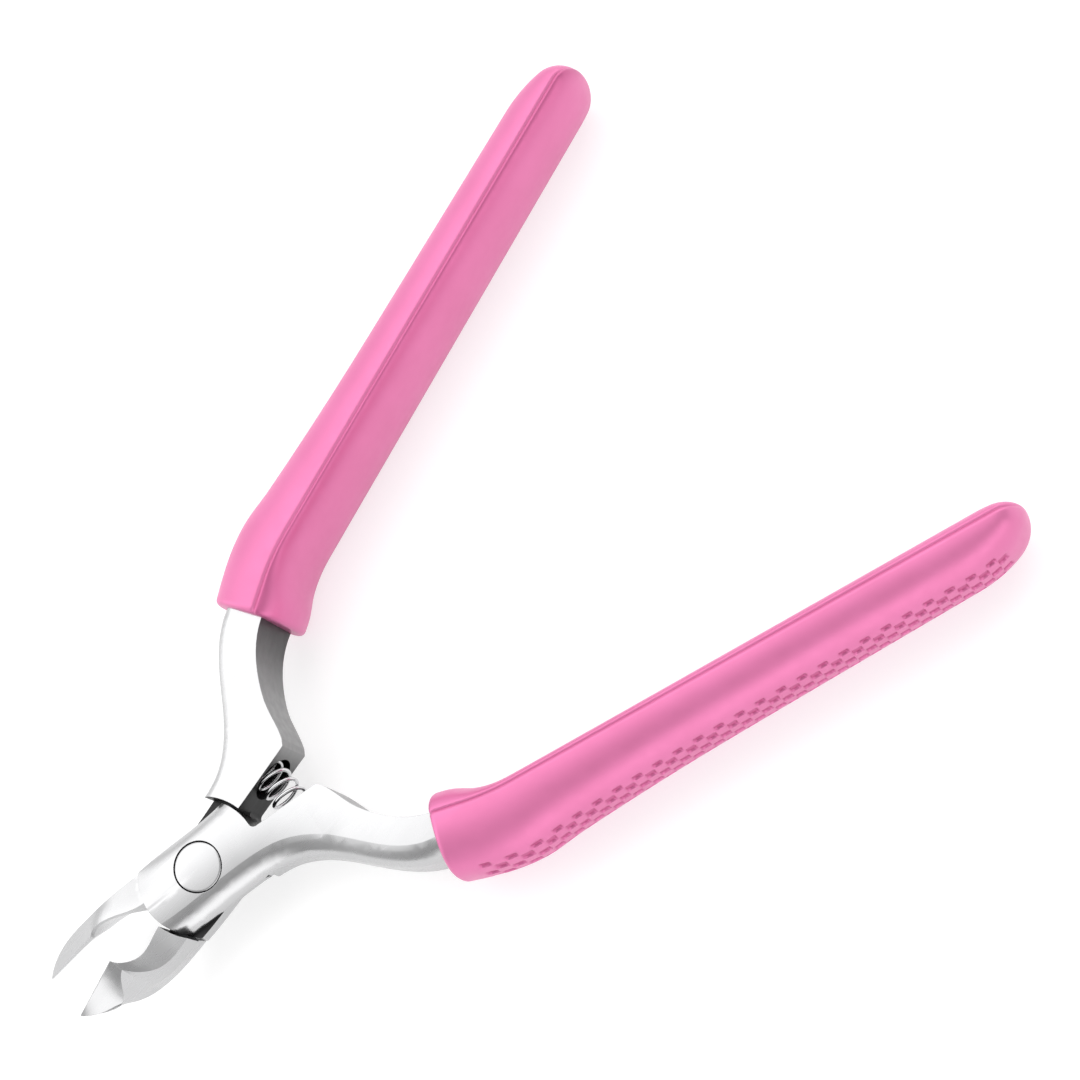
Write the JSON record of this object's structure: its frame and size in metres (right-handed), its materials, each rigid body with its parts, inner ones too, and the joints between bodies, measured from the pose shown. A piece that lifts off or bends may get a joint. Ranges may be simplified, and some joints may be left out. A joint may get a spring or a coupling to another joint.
{
  "type": "cuticle nipper",
  "caption": "Lap-jointed steel cuticle nipper with full-length cutting edges, a coil return spring between its levers and textured soft grips.",
  "frame": {"origin": "on the pivot axis, at the flat rear face of the head", "axes": "+X to the jaw tips, +Y to the front lever's handle, +Z along the pivot towards the front face"},
  "size_m": [0.121, 0.0872, 0.0128],
  "materials": {
    "lever_steel": "satin polished",
    "rivet_steel": "ground flush and polished",
    "spring_wire": "bright drawn wire",
    "grip_textured": "soft satin with a raised checker",
    "grip_smooth": "soft satin"
  },
  "bodies": {
    "front": {"front_lever": "lever_steel", "pivot_rivet": "rivet_steel", "return_spring": "spring_wire", "front_grip_outer": "grip_textured", "front_grip_inner": "grip_smooth"},
    "back": {"back_lever": "lever_steel", "back_grip_outer": "grip_textured", "back_grip_inner": "grip_smooth"}
  },
  "joints": [
    {"name": "pivot", "type": "hinge", "parent": "front", "child": "back", "pos_m": [0, 0, 0], "axis": [0, 0, -1], "range_deg": [0, 15.3], "stiffness_Nm_per_rad": 0.2, "deforming": ["return_spring"]}
  ]
}
